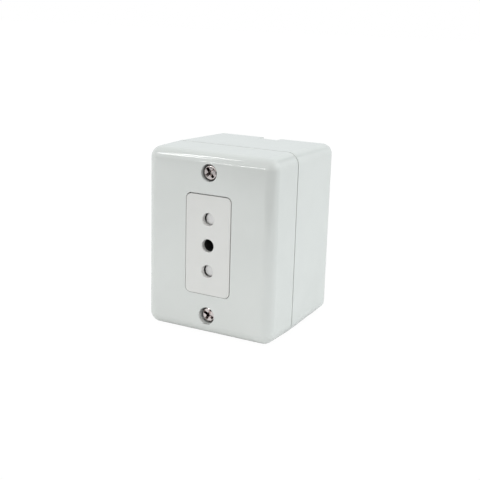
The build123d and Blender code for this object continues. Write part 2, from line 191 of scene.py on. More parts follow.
glow = add_node(tent, "ShaderNodeMapRange", {"interpolation_type": "SMOOTHSTEP"}, {
    "Value": facing(*LENS_GAP_PLACE), "From Min": LENS_GAP_EDGE, "From Max": LENS_GAP_CORE,
    "To Min": CLOTH_GLOW, "To Max": LENS_GAP_GLOW,
}).outputs["Result"]
glow = add_node(tent, "ShaderNodeVectorMath", {"operation": "MULTIPLY"}, {
    0: glow, 1: linear(COOL)[:3],
}).outputs[0]
print("cloth glows at", CLOTH_GLOW, "and the lens gap at", round(LENS_GAP_GLOW, 3))

# %% [markdown]
# Panels behind the cloth add light: one at the rear right lights the side, and a warmer one
# at the front lights the insert. They could be glowing planes, but a gloss would show their
# edges. So each is a soft lobe of light round a direction, given by azimuth, elevation,
# sharpness, strength and tint. A negative one is a gap, and a narrow gap lies high at the
# rear. Camera rays see plain white.

# %% Light tent, panels
panels = [
    (30, 30, 10.0, 1.36, COOL),
    (150, 38, 10.0, 0.10, COOL),
    (270, 12, 10.0, 0.88, WARM),
    (78, 26, 120.0, -0.65, PLAIN),
]
for azimuth, elevation, sharpness, strength, code in panels:
    falloff = add_node(tent, "ShaderNodeMath", {"operation": "MULTIPLY_ADD"}, {
        0: facing(azimuth, elevation), 1: sharpness, 2: -sharpness,
    }).outputs[0]
    lobe = add_node(tent, "ShaderNodeMath", {"operation": "EXPONENT"}, {0: falloff}).outputs[0]
    tint = [strength * c for c in linear(code)[:3]]
    glow = add_node(tent, "ShaderNodeVectorMath", {"operation": "MULTIPLY_ADD"}, {
        0: lobe, 1: tint, 2: glow,
    }).outputs[0]
rays = add_node(tent, "ShaderNodeLightPath")
inside_tent = add_node(tent, "ShaderNodeBackground", inputs={"Color": glow})
white = add_node(tent, "ShaderNodeBackground", inputs={"Color": grey(1.0)})
seen = add_node(tent, "ShaderNodeMixShader", inputs={
    0: rays.outputs["Is Camera Ray"], 1: inside_tent.outputs[0], 2: white.outputs[0],
})
add_node(tent, "ShaderNodeOutputWorld", inputs={"Surface": seen.outputs[0]})
print("tent has", len(panels), "panels")

# %% [markdown]
# The socket stands on white paper, which lies in the dark past the tent's open front. The
# housing's right edge mirrors that as a soft dark band, so for all rays but the camera's
# the paper's colour is painted darker towards the lens: painted shade. Camera rays see it
# washed out to the background's white, with only a small share of its shadow. More light
# would wash it out too, but the housing with it.

# %% Paper
SHADOW_SHARE = 0.05
WASH = 1.02
PAPER_WHITE, PAPER_DARK = 0.9, 0.09
FADE_START, FADE_END = 0.18, 0.26
TOWARDS_LENS = Vector((0.45, -0.89, 0.0))

floor_material, tree, place = new_material("white_sweep_paper")
nearness = add_node(tree, "ShaderNodeVectorMath", {"operation": "DOT_PRODUCT"}, {
    0: place, 1: TOWARDS_LENS,
}).outputs["Value"]
# Painted shade: the paper's colour falls from white to nearly black towards the lens.
level = add_node(tree, "ShaderNodeMapRange", {"interpolation_type": "SMOOTHSTEP"}, {
    "Value": nearness, "From Min": FADE_START, "From Max": FADE_END,
    "To Min": PAPER_WHITE, "To Max": PAPER_DARK,
}).outputs["Result"]
fading = add_node(tree, "ShaderNodeBsdfDiffuse", inputs={"Color": level})
paper = add_node(tree, "ShaderNodeBsdfDiffuse", inputs={"Color": grey(PAPER_WHITE)})
wash = add_node(tree, "ShaderNodeEmission", inputs={"Color": grey(1.0), "Strength": WASH})
washed = add_node(tree, "ShaderNodeMixShader", inputs={
    0: 1 - SHADOW_SHARE, 1: paper.outputs[0], 2: wash.outputs[0],
})
rays = add_node(tree, "ShaderNodeLightPath")
seen = add_node(tree, "ShaderNodeMixShader", inputs={
    0: rays.outputs["Is Camera Ray"], 1: fading.outputs[0], 2: washed.outputs[0],
})
add_node(tree, "ShaderNodeOutputMaterial", inputs={"Surface": seen.outputs[0]})
print("paper fades from", PAPER_WHITE, "to", PAPER_DARK)

# %% [markdown]
# The paper lies level right under the socket's lowest point. A curved backdrop would hide
# the horizon, but here the world behind is as white as the paper, so one square is enough.

# %% Floor
FLOOR_HALF = 3.0
lowest = cad_box[0].z
floor_mesh = bpy.data.meshes.new("floor")
floor_mesh.from_pydata(
    [(sx * FLOOR_HALF, sy * FLOOR_HALF, lowest) for sx, sy in ((-1, -1), (1, -1), (1, 1), (-1, 1))],
    [], [(0, 1, 2, 3)],
)
floor = bpy.data.objects.new("floor", floor_mesh)
bpy.context.scene.collection.objects.link(floor)
floor_mesh.materials.append(floor_material)
print("floor at mm", round(lowest / MM, 2))

# %% [markdown]
# The tent gives the broad light. Three strip lamps hang in it at the upper left, at the
# high left and at the low left. The rounded top edge of the cover mirrors each as one thin
# bright line: it shrinks their height far more than their width. They could be lobes of the
# tent, but so thin a line needs the sharp edges of an area lamp. A small lamp above lights
# the top a little. All are aimed at the middle of the socket.

# %% Lamps
AIM = Vector((0, -25, 0)) * MM
LAMP_DISTANCE = 1.3


def add_lamp(name, toward, size, watts):
    """Area lamp in this direction from the socket, aimed back at it. Sizes are in metres."""
    data = bpy.data.lights.new(name, "AREA")
    data.shape = "RECTANGLE"
    data.size, data.size_y = size
    data.energy = watts
    lamp = bpy.data.objects.new(name, data)
    bpy.context.scene.collection.objects.link(lamp)
    lamp.location = AIM + Vector(toward).normalized() * LAMP_DISTANCE
    lamp.rotation_mode = "QUATERNION"
    lamp.rotation_quaternion = (lamp.location - AIM).to_track_quat("Z", "Y")
    print(name, [round(v, 2) for v in lamp.location])


add_lamp("strip_upper_left", (-0.525, -0.62, 0.583), (0.10, 0.14), 0.5)
add_lamp("strip_high_left", (-0.495, -0.43, 0.755), (0.07, 0.14), 0.4)
add_lamp("strip_low_left", (-0.45, -0.88, 0.15), (0.17, 0.035), 0.4)
add_lamp("spot_above", (-0.11, -0.07, 0.99), (0.06, 0.06), 0.5)

bpy.context.scene.view_settings.view_transform = "Standard"

# %% [markdown]
# Pressed resin holds a few dark specks, and the housing shows some. They could be painted
# on an image, but then the housing would have to be unwrapped. A random grid of wide cells
# needs no image: some cells are chosen, and each has one speck round its own point.

# %% Specks
SPECK_CELL_MM = 11
SPECK_SHARE = 0.38
SPECK_STRENGTH = 0.5


def with_specks(tree, place, colour, speck_mm):
    """Puts a dark speck of this radius into some cells of a wide random grid."""
    cells = add_node(tree, "ShaderNodeTexVoronoi", inputs={
        "Vector": place, "Scale": 1 / (SPECK_CELL_MM * MM), "Randomness": 1.0,
    })
    chosen = add_node(tree, "ShaderNodeSeparateColor", inputs={0: cells.outputs["Color"]})
    few = add_node(tree, "ShaderNodeMath", {"operation": "GREATER_THAN"}, {
        0: chosen.outputs["Red"], 1: 1 - SPECK_SHARE,
    }).outputs[0]
    radius = speck_mm / SPECK_CELL_MM
    near = add_node(tree, "ShaderNodeMapRange", inputs={
        "Value": cells.outputs["Distance"], "From Min": 0.4 * radius, "From Max": radius,
        "To Min": SPECK_STRENGTH, "To Max": 0.0,
    }).outputs["Result"]
    mark = add_node(tree, "ShaderNodeMath", {"operation": "MULTIPLY"}, {0: few, 1: near})
    return add_node(tree, "ShaderNodeMix", {"data_type": "RGBA"}, {
        0: mark.outputs[0], 6: colour, 7: linear("#8C8F8C"),
    }).outputs[2]


print("a speck in", SPECK_SHARE, "of the cells of mm", SPECK_CELL_MM)

# %% [markdown]
# No moulded face is quite flat. Shrinkage leaves slow waves, which bend a mirrored edge a
# little. Handling rubs fine marks into the gloss, and the colour drifts where the resin
# flowed. A flat colour with one roughness would be simpler, but it looks like a drawing.
# All plastics of the socket are moulded, so one function makes them, and each pattern has
# its size in millimetres. Rubbed marks are finer on the real housing: they are drawn coarse
# enough to show.

# %% Moulded plastic
DRIFT_MM = 14
RUB_MM = 0.9
RUB_STRETCH = 0.12
RUB_ROUGHNESS = 0.02
PLASTIC_IOR = 1.6


def moulded_plastic(name, light_code, dark_code, roughness, wave_mm, wave_height_mm, speck_mm=0.0):
    """Plastic with slow colour drift, rubbed marks, shrinkage waves and, if asked, specks."""
    material, tree, place = new_material(name)
    drift = add_node(tree, "ShaderNodeTexNoise", inputs={
        "Vector": place, "Scale": 1 / (DRIFT_MM * MM), "Detail": 2.0,
    }).outputs["Fac"]
    lightness = add_node(tree, "ShaderNodeMapRange", inputs={
        "Value": drift, "From Min": 0.3, "From Max": 0.7,
    }).outputs["Result"]
    colour = add_node(tree, "ShaderNodeMix", {"data_type": "RGBA"}, {
        0: lightness, 6: linear(dark_code), 7: linear(light_code),
    }).outputs[2]
    if speck_mm:
        colour = with_specks(tree, place, colour, speck_mm)
    stretched = add_node(tree, "ShaderNodeMapping", inputs={
        "Vector": place, "Rotation": (0.3, 0.5, 0.2), "Scale": (1.0, 1.0, RUB_STRETCH),
    }).outputs[0]
    rubbed = add_node(tree, "ShaderNodeTexNoise", inputs={
        "Vector": stretched, "Scale": 1 / (RUB_MM * MM), "Detail": 5.0, "Roughness": 0.65,
    }).outputs["Fac"]
    gloss = add_node(tree, "ShaderNodeMapRange", inputs={
        "Value": rubbed, "From Min": 0.45, "From Max": 0.75,
        "To Min": roughness, "To Max": roughness + RUB_ROUGHNESS,
    }).outputs["Result"]
    waves = add_node(tree, "ShaderNodeTexNoise", inputs={
        "Vector": place, "Scale": 1 / (wave_mm * MM), "Detail": 3.0,
    }).outputs["Fac"]
    bump = add_node(tree, "ShaderNodeBump", inputs={
        "Height": waves, "Strength": 1.0, "Distance": wave_height_mm * MM,
    }).outputs["Normal"]
    shader = add_node(tree, "ShaderNodeBsdfPrincipled", inputs={
        "Base Color": colour, "Roughness": gloss, "IOR": PLASTIC_IOR, "Normal": bump,
    })
    add_node(tree, "ShaderNodeOutputMaterial", inputs={"Surface": shader.outputs[0]})
    return material


print("waves and marks are ready, rubbed marks of mm", RUB_MM)

# %% [markdown]
# The housing is urea resin, pressed in a polished mould. The insert's front is the same
# resin from a finer matt mould. The base behind it is nylon filled with glass fibre, in a dark
# grey that paints the shade deep in the middle hole, and the shutter is moulded from acetal,
# which slides well. They could share one material with other colours, but the eye tells them
# apart by their gloss.

# %% The four plastics
# A hard, cool off-white with a deep gloss: it mirrors the strips and the dark lens gap.
housing_plastic = moulded_plastic(
    "urea_resin_pressed_glossy", "#E6E7E4", "#E3E4E1",
    roughness=0.03, wave_mm=6.0, wave_height_mm=0.002, speck_mm=0.28,
)
# Warmer, with a soft sheen: the insert looks even, without mirror images.
face_plastic = moulded_plastic(
    "urea_resin_insert_satin", "#ECEAE7", "#E9E7E4",
    roughness=0.22, wave_mm=2.2, wave_height_mm=0.004,
)
# Dark and matt with a fine grain: its dark grey is painted shade, so the middle hole stays dark right to its
# bottom.
base_plastic = moulded_plastic(
    "glass_filled_nylon_matt_grey", "#464646", "#3A3A3A",
    roughness=0.5, wave_mm=1.2, wave_height_mm=0.012,
)
# The whitest of them, smooth: the buttons gleam in the shade of their holes.
shutter_plastic = moulded_plastic(
    "acetal_moulded_white", "#FAF8F8", "#F5F3F3",
    roughness=0.1, wave_mm=1.6, wave_height_mm=0.004,
)
print("plastics", [m.name for m in (housing_plastic, face_plastic, base_plastic, shutter_plastic)])

# %% [markdown]
# A tool leaves fine lines on metal: rings when it is turned, streaks when it is rolled or
# drawn. They could be an image of brushed metal, which needs the piece unwrapped. Noise that
# is stretched along the work needs no unwrapping, and it changes roughness and height a
# little, so that a highlight frays at its ends. Real lines are some hundredths of a
# millimetre apart. They are drawn about ten times as coarse, to show at all. Where a corner
# is narrow, the colour is painted darker by how open each point is: this is painted shade.

# %% Worked metal
TOOL_LINE_HEIGHT_MM = 0.004
TOOL_LINE_ROUGHNESS = 0.12
EVEN = (1.0, 1.0, 1.0)


def worked_metal(name, light_code, dark_code, roughness, line_mm, stretch, painted_shade_mm=0.0):
    """Metal with fine tool lines, stretched along its axes, and painted shade in narrow corners."""
    material, tree, place = new_material(name)
    along = add_node(tree, "ShaderNodeMapping", inputs={"Vector": place, "Scale": stretch}).outputs[0]
    lines = add_node(tree, "ShaderNodeTexNoise", inputs={
        "Vector": along, "Scale": 1 / (line_mm * MM), "Detail": 4.0, "Roughness": 0.6,
    }).outputs["Fac"]
    lightness = add_node(tree, "ShaderNodeMapRange", inputs={
        "Value": lines, "From Min": 0.35, "From Max": 0.65,
    }).outputs["Result"]
    colour = add_node(tree, "ShaderNodeMix", {"data_type": "RGBA"}, {
        0: lightness, 6: linear(dark_code), 7: linear(light_code),
    }).outputs[2]
    # Painted shade: the colour turns nearly black where the point is closed in, as in a recess.
    if painted_shade_mm:
        openness = add_node(tree, "ShaderNodeAmbientOcclusion", {"samples": 8}, {
            "Distance": painted_shade_mm * MM,
        })
        unshaded = add_node(tree, "ShaderNodeMapRange", inputs={
            "Value": openness.outputs["AO"], "From Min": 0.5, "From Max": 0.85,
        }).outputs["Result"]
        colour = add_node(tree, "ShaderNodeMix", {"data_type": "RGBA"}, {
            0: unshaded, 6: linear("#241C1C"), 7: colour,
        }).outputs[2]
    gloss = add_node(tree, "ShaderNodeMapRange", inputs={
        "Value": lines, "From Min": 0.3, "From Max": 0.7,
        "To Min": roughness, "To Max": roughness + TOOL_LINE_ROUGHNESS,
    }).outputs["Result"]
    bump = add_node(tree, "ShaderNodeBump", inputs={
        "Height": lines, "Strength": 1.0, "Distance": TOOL_LINE_HEIGHT_MM * MM,
    }).outputs["Normal"]
    shader = add_node(tree, "ShaderNodeBsdfPrincipled", inputs={
        "Base Color": colour, "Roughness": gloss, "Metallic": 1.0, "Normal": bump,
    })
    add_node(tree, "ShaderNodeOutputMaterial", inputs={"Surface": shader.outputs[0]})
    return material


print("tool lines are ready, height in mm", TOOL_LINE_HEIGHT_MM)

# %% [markdown]
# The metal pieces differ by finish more than by metal. The cover screws are steel with a
# bright nickel plate, and the corners of their recesses are painted dark as shade. The inner
# screws are plated with zinc. Mantles and bushes are cut from brass bar, the contacts are
# rolled bronze strip, and the springs are drawn wire. One grey metal would do for a rough
# model, but the warm and cold tones side by side are what makes the eye believe in a mechanism.

# %% The five metals
# Slightly warm and nearly a mirror: the heads show the room's light and dark side by side.
# The corners of its recesses get painted shade within about a millimetre.
nickel = worked_metal("steel_bright_nickel_plated", "#F0E6E4", "#DCCFCD", 0.08, 0.5, EVEN, painted_shade_mm=1.0)
# Cold and duller, so that the inner screws don't compete with the cover's.
zinc = worked_metal("steel_zinc_plated", "#BFC2C6", "#A9ADB3", 0.3, 0.4, EVEN)
# Yellow, with rings across the bar.
brass = worked_metal("brass_turned_bar", "#D2B16A", "#BF9A52", 0.24, 0.25, (1.0, 6.0, 1.0))
# Reddish, with long streaks from the rolls.
bronze = worked_metal("phosphor_bronze_rolled_strip", "#C4926A", "#AF7D56", 0.26, 0.3, (1.0, 0.2, 1.0))
# Grey and bright along the wire.
music_wire = worked_metal("spring_steel_drawn_wire", "#A6A6A4", "#8F8F8D", 0.2, 0.2, EVEN)
print("metals", [m.name for m in (nickel, zinc, brass, bronze, music_wire)])

# %% [markdown]
# The record names a material slot for every node, so the nodes take their finish from a
# table from slot to material. The inner pieces are hardly seen. They could be built again
# like the outer ones, but their CAD shape is good enough, so the insert's base and rear
# cover, the contacts, terminals, plates and bushes keep it.

# %% Finish of the CAD nodes
finishes = {
    "housing": housing_plastic, "insert_face": face_plastic, "insert_base": base_plastic,
    "shutter": shutter_plastic, "plated_screw": nickel, "steel": zinc,
    "spring_steel": music_wire, "brass": brass, "bronze": bronze,
}
for part in frame["record"]["subparts"]:
    node = frame["nodes"][part["node"]]
    node.data.materials.clear()
    node.data.materials.append(finishes[part["material_slot"]])

# %% [markdown]
# The big mouldings are glossy and rounded, and a gloss shows every facet. They could be
# boxes with a Bevel modifier, but a bevel knows neither the drafts nor the different radii.
# So they are built from loops that lie parallel to the wall, like the contour lines of a
# hill. A loop is a list of points at one depth, in millimetres from the wall. Where two
# faces meet, a quarter round takes the edge off, as a real mould does.

# %% Loops
CORNER_STEPS = 14
HOLE_STEPS = 64
EDGE_STEPS = 4


def rounded_loop(half_width, half_height, radius, depth):
    """Rounded rectangle parallel to the wall, in millimetres."""
    points = []
    for sx, sz, start in ((1, 1, 0), (-1, 1, 90), (-1, -1, 180), (1, -1, 270)):
        for step in range(CORNER_STEPS + 1):
            angle = math.radians(start + 90 * step / CORNER_STEPS)
            x = sx * (half_width - radius) + radius * math.cos(angle)
            z = sz * (half_height - radius) + radius * math.sin(angle)
            points.append(Vector((x, -depth, z)) * MM)
    return points


def round_loop(x, z, radius, depth):
    """Circle parallel to the wall."""
    turns = [2 * math.pi * step / HOLE_STEPS for step in range(HOLE_STEPS)]
    return [Vector((x + radius * math.cos(t), -depth, z + radius * math.sin(t))) * MM for t in turns]


def square_loop(x_range, z_range, depth):
    """Rectangle parallel to the wall."""
    (left, right), (low, high) = x_range, z_range
    corners = ((left, low), (right, low), (right, high), (left, high))
    return [Vector((x, -depth, z)) * MM for x, z in corners]


def quarter(radius, steps=EDGE_STEPS):
    """Quarter round from side to face, as (in from the side, down from the face)."""
    angles = [math.radians(90 * step / steps) for step in range(steps + 1)]
    return [(radius * (1 - math.cos(a)), radius * (1 - math.sin(a))) for a in angles]


print("quarter round of 1 mm", [tuple(round(v, 2) for v in pair) for pair in quarter(1.0)])

# %% [markdown]
# A skin joins each loop to the next with quads, as the wall of a moulding joins its edges. A
# Loft or Skin tool could guess the faces, but here each point has its partner already. A
# flat end is filled between its outer ring and the rings of its holes, so the openings need
# no cutting and their edges stay clean.

# %% Skins
def skin(mesh, loops):
    """Joins each loop to the next and gives back the rings of vertices."""
    rings = [[mesh.verts.new(point) for point in loop] for loop in loops]
    for near, far in zip(rings, rings[1:]):
        join_rings(mesh, near, far)
    return rings


def join_rings(mesh, near, far):
    """Joins two rings that are already in the mesh."""
    for i in range(len(near)):
        j = (i + 1) % len(near)
        mesh.faces.new((near[i], near[j], far[j], far[i]))


def flat_fill(mesh, *rings):
    """Closes a flat region whose outside and holes are these rings."""
    edges = []
    for ring in rings:
        for i in range(len(ring)):
            pair = (ring[i], ring[(i + 1) % len(ring)])
            edges.append(mesh.edges.get(pair) or mesh.edges.new(pair))
    bmesh.ops.triangle_fill(mesh, use_beauty=True, edges=edges)


def closed(loops):
    """Mesh of a skin whose first and last loops are filled."""
    mesh = bmesh.new()
    rings = skin(mesh, loops)
    flat_fill(mesh, rings[0])
    flat_fill(mesh, rings[-1])
    return mesh


example = closed([round_loop(0, 0, 2.0, depth) for depth in (0, 1)])
print("a round bar has", len(example.faces), "faces")
example.free()

# %% [markdown]
# A finished piece is one closed mesh whose faces point outwards. What crosses a wall at an
# angle is joined or cut by a boolean. Curved faces are shaded smooth and true edges stay
# sharp. More faces would smooth them too, but weighted normals need none: they keep the wide
# flat faces flat right up to the fine rounding at their borders, which is what a clean
# highlight needs.

# %% From mesh to piece
def plain_mesh(piece):
    """Turns the piece and its modifiers into one plain mesh."""
    depsgraph = bpy.context.evaluated_depsgraph_get()
    finished = bpy.data.meshes.new_from_object(piece.evaluated_get(depsgraph))
    piece.modifiers.clear()
    piece.data = finished


def new_piece(name, mesh, material):
    """Makes an object from a bmesh, its faces pointing outwards."""
    bmesh.ops.recalc_face_normals(mesh, faces=mesh.faces[:])
    data = bpy.data.meshes.new(name)
    mesh.to_mesh(data)
    mesh.free()
    piece = bpy.data.objects.new(name, data)
    bpy.context.scene.collection.objects.link(piece)
    data.materials.append(material)
    return piece


def combine(piece, mesh, operation):
    """Joins a closed mesh to the piece, or cuts it out."""
    tool = new_piece("tool", mesh, piece.data.materials[0])
    change = piece.modifiers.new("change", "BOOLEAN")
    change.operation = operation
    change.object = tool
    change.solver = "MANIFOLD"
    plain_mesh(piece)
    bpy.data.objects.remove(tool)


SHARP_DEGREES = 32


def smooth(piece, sharp_degrees=SHARP_DEGREES):
    """Smooth shading with sharp edges above this angle, and weighted normals."""
    data = piece.data
    data.polygons.foreach_set("use_smooth", [True] * len(data.polygons))
    data.set_sharp_from_angle(angle=math.radians(sharp_degrees))
    weighted = piece.modifiers.new("weighted", "WEIGHTED_NORMAL")
    weighted.keep_sharp = True
    plain_mesh(piece)


def settle(piece, slot_name, *nodes, body=HOUSING):
    """The piece rides on its body and stands for its CAD nodes, which it hides; slot_name is not used."""
    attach(piece, body)
    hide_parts(*nodes)
    print(piece.name, len(piece.data.polygons), "faces")


# %% [markdown]
# The sizes of the housing come from the frame where a box says them. The few that a box
# can't tell, such as the drafts, the edge radius and the insert's corners, could be measured
# on the CAD mesh, but a named number is easier to change. They are named here once, in
# millimetres, and used by all the mouldings. Three are what the eye catches: the cover stops
# a little short of the box, the window is a little larger than the insert, and the insert
# sags a little to the left and down in its clips.

# %% Sizes of the mouldings
def depth_of(node):
    """Depths of a node's rear and front, in millimetres from the wall."""
    low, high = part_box(node)
    return (-high.y / MM, -low.y / MM)


SEAM, FRONT = depth_of("front_cover")
BASE_FRONT, FACE_FRONT = depth_of("socket_face")
SKIN_CLEARANCE = 0.0025
HALF_WIDTH = cad_box[1].x / MM - SKIN_CLEARANCE
HALF_HEIGHT = cad_box[1].z / MM - SKIN_CLEARANCE
CORNER = 4.5
LEAST_CORNER = 0.4
COVER_SLOPE = math.tan(math.radians(1.0))
BOX_SLOPE = math.tan(math.radians(1.5))
FRONT_RADIUS = 4.0
COVER_EASING, BOX_EASING = 0.36, 0.05
SEAM_GAP = 0.3
WALL = 2.4
FLOOR = 2.4
SEAT = FRONT - WALL
TONGUE_IN = 1.3
TONGUE_PLAY = 0.15
TONGUE_HEIGHT = 1.6
SCREW_HEIGHT = 26.1
COUNTERBORE_DEPTH = 3.5
SCREW_SEAT = FRONT - COUNTERBORE_DEPTH
FACE_HALF_WIDTH = 9.0
FACE_HALF_HEIGHT = 18.15
FACE_CORNER = 1.9
WINDOW_GAP = 0.24
INSERT_SAG = 0.13
RIM = 0.25
WINDOW_RIM = 0.08
PIN_PITCH = 9.5
PIN_RADIUS = 2.35


def housing_loop(inset, depth):
    """Outline of the housing at this depth, with its draft, moved in by this much more."""
    slope = COVER_SLOPE if depth > SEAM else BOX_SLOPE
    total = inset + abs(depth - SEAM) * slope
    corner = max(CORNER - total, LEAST_CORNER)
    return rounded_loop(HALF_WIDTH - total, HALF_HEIGHT - total, corner, depth)


print("front", round(FRONT, 2), "seam", round(SEAM, 2), "insert front", round(FACE_FRONT, 2))

# %% [markdown]
# The front cover is a pressed shell. From the seam its walls lean in by one degree, roll
# over a four millimetre edge and run into the flat front. The inside follows the outside,
# with a groove at the seam for the tongue of the rear box. The front has a tall window and
# two counterbored screw holes in sleeves, each with a fine rounded rim. A solid block could
# be hollowed by booleans, but one skin keeps the wall and all the rims in clean rows. The
# window is moved by the insert's sag, so the dark line round the insert is widest at its
# right and top.

# %% Front cover, shell and openings
FRONT_STEPS = 18
SEAT_FILLET = 0.8
COUNTERBORE = 3.1
SHANK_HOLE = 1.7
SLEEVE = 4.2

cover = bmesh.new()
outside = [housing_loop(i, SEAM + SEAM_GAP + s) for i, s in reversed(quarter(COVER_EASING))]
outside += [housing_loop(i, FRONT - s) for i, s in quarter(FRONT_RADIUS, FRONT_STEPS)]
groove_side = TONGUE_IN - TONGUE_PLAY
groove = SEAM + TONGUE_HEIGHT + TONGUE_PLAY
inside = [housing_loop(groove_side, SEAM + SEAM_GAP), housing_loop(groove_side, groove)]
inside.append(housing_loop(WALL, groove))
inside += [housing_loop(WALL + i, SEAT - s) for i, s in quarter(SEAT_FILLET)]
outer_rings = skin(cover, outside)
inner_rings = skin(cover, inside)
join_rings(cover, outer_rings[0], inner_rings[0])

window_size = [size + WINDOW_GAP for size in (FACE_HALF_WIDTH, FACE_HALF_HEIGHT, FACE_CORNER)]
window = [
    rounded_loop(*(size + i for size in window_size), FRONT - s)
    for i, s in reversed(quarter(WINDOW_RIM))
]
window.append(rounded_loop(*window_size, SEAT))
sag = Vector((INSERT_SAG, 0, INSERT_SAG)) * MM
openings = [skin(cover, [[point + sag for point in loop] for loop in window])]
for z in (SCREW_HEIGHT, -SCREW_HEIGHT):
    bore = [(COUNTERBORE + i, FRONT - s) for i, s in reversed(quarter(RIM))]
    bore += [(COUNTERBORE, SCREW_SEAT), (SHANK_HOLE, SCREW_SEAT)]
    bore += [(SHANK_HOLE, SEAM), (SLEEVE, SEAM), (SLEEVE, SEAT)]
    openings.append(skin(cover, [round_loop(0, z, radius, depth) for radius, depth in bore]))
flat_fill(cover, outer_rings[-1], *(rings[0] for rings in openings))
flat_fill(cover, inner_rings[-1], *(rings[-1] for rings in openings))
front_cover = new_piece("front_cover_moulding", cover, housing_plastic)
print("cover height", round(front_cover.dimensions.z / MM, 2))

# %% [markdown]
# Inside the cover a rib ties each screw sleeve to the end wall, and four sprung hooks hold
# the insert's flange. A hook is a flat arm with a slanted nose, drawn as its profile and
# given a width. They could be left as blocks pushed into the wall, but a moulding is one
# piece, so a union joins them to the shell and no face is left inside the plastic.

# %% Front cover, ribs and hooks
def prism(profile, z_range):
    """Closed mesh from a profile of (x, depth) points, run along the height."""
    return closed([[Vector((x, -depth, z)) * MM for x, depth in profile] for z in z_range])


RIB_HALF_WIDTH = 1.2
RIB_OVERLAP = 0.5
RIB_END = HALF_HEIGHT - 1.7
HOOK_WIDTH = 6.0
HOOK_HEIGHT = 10.275
HOOK_FACE = 12.55
HOOK_THICKNESS = 1.3
HOOK_ROOT = SEAT + 1.0
NOSE = 0.9
NOSE_LENGTH = 2.7
FLANGE_THICKNESS = 2.2
FLANGE_BACK = SEAT - FLANGE_THICKNESS
CATCH_PLAY = 0.15
CATCH = FLANGE_BACK - CATCH_PLAY
for side in (1, -1):
    rib_heights = (side * (SCREW_HEIGHT + SLEEVE - RIB_OVERLAP), side * RIB_END)
    rib = [
        square_loop((-RIB_HALF_WIDTH, RIB_HALF_WIDTH), rib_heights, depth)
        for depth in (groove, SEAT + RIB_OVERLAP)
    ]
    combine(front_cover, closed(rib), "UNION")
    hook = [
        (HOOK_FACE, HOOK_ROOT), (HOOK_FACE + HOOK_THICKNESS, HOOK_ROOT),
        (HOOK_FACE + HOOK_THICKNESS, CATCH - NOSE_LENGTH), (HOOK_FACE, CATCH - NOSE_LENGTH),
        (HOOK_FACE - NOSE, CATCH - NOSE), (HOOK_FACE - NOSE, CATCH), (HOOK_FACE, CATCH),
    ]
    profile = [(side * x, depth) for x, depth in hook]
    for z in (HOOK_HEIGHT, -HOOK_HEIGHT):
        combine(front_cover, prism(profile, (z - HOOK_WIDTH / 2, z + HOOK_WIDTH / 2)), "UNION")
smooth(front_cover)
settle(front_cover, "housing", "front_cover")

# %% [markdown]
# The rear box is the deep half. Its sides lean in by one and a half degrees towards its
# floor, which lies on the room's wall. Its rim carries a thin tongue that enters the cover.
# The gap in front of the rim and the cover's eased edge draw the fine seam line round the
# housing. A dark stripe in the material could draw that line too, but it would have no
# depth at a raking view. Two holes in the floor are for the fixing screws.

# %% Rear box, shell
FLOOR_EASING = 0.4
FLOOR_FILLET = 1.2
FIXING_RADIUS = 2.2
FIXING_PLACE = 16.0
TONGUE_TOP = SEAM + TONGUE_HEIGHT

box = bmesh.new()
shell = [housing_loop(i, s) for i, s in reversed(quarter(FLOOR_EASING))]
shell += [housing_loop(i, SEAM - s) for i, s in quarter(BOX_EASING)]
tongue = [(TONGUE_IN, SEAM), (TONGUE_IN, TONGUE_TOP), (WALL, TONGUE_TOP)]
shell += [housing_loop(inset, depth) for inset, depth in tongue]
shell += [housing_loop(WALL + i, FLOOR + s) for i, s in quarter(FLOOR_FILLET)]
rings = skin(box, shell)
holes = [
    skin(box, [round_loop(x, 0, FIXING_RADIUS, depth) for depth in (0, FLOOR)])
    for x in (-FIXING_PLACE, FIXING_PLACE)
]
flat_fill(box, rings[0], *(hole[0] for hole in holes))
flat_fill(box, rings[-1], *(hole[-1] for hole in holes))
rear_box = new_piece("rear_box_moulding", box, housing_plastic)
print("rear box depth", round(rear_box.dimensions.y / MM, 2))

# %% [markdown]
# At each end the box has a tower for the cover screw's brass bush, carried by the end wall
# on a slanted foot. Behind it is an entry for the cable: a notch in the end wall and a slot
# in the floor. Tower and slot have the same plan, a half circle that runs straight into the
# wall. They cross the leaning wall, where no loop of the shell could follow them, so the
# tower is joined by a union, and bush, slot and notch are cut out.

# %% Rear box, towers and cable entries
HALF_ENTRY = 4.0
ARCH_STEPS = 24
SLOT_HEIGHT = 26.0
NOTCH_DEPTH = 4.5
TOWER_FOOT, TOWER_TIP, TIP_SHARE = 9.0, 5.0, 0.02
BUSH_RADIUS = 2.33
BUSH_REAR = 23.0
WALL_LEAN = 0.6
SLOT_TOP = FLOOR + 0.5
PAST = 1.0


def arch_loop(side, middle, end, depth, width_share=1.0):
    """Half circle towards the box's middle that runs straight out to the end."""
    points = [(HALF_ENTRY, end), (-HALF_ENTRY, end)]
    for step in range(ARCH_STEPS + 1):
        angle = math.radians(180 + 180 * step / ARCH_STEPS)
        points.append((HALF_ENTRY * math.cos(angle), middle + HALF_ENTRY * math.sin(angle)))
    return [Vector((x * width_share, -depth, side * z)) * MM for x, z in points]


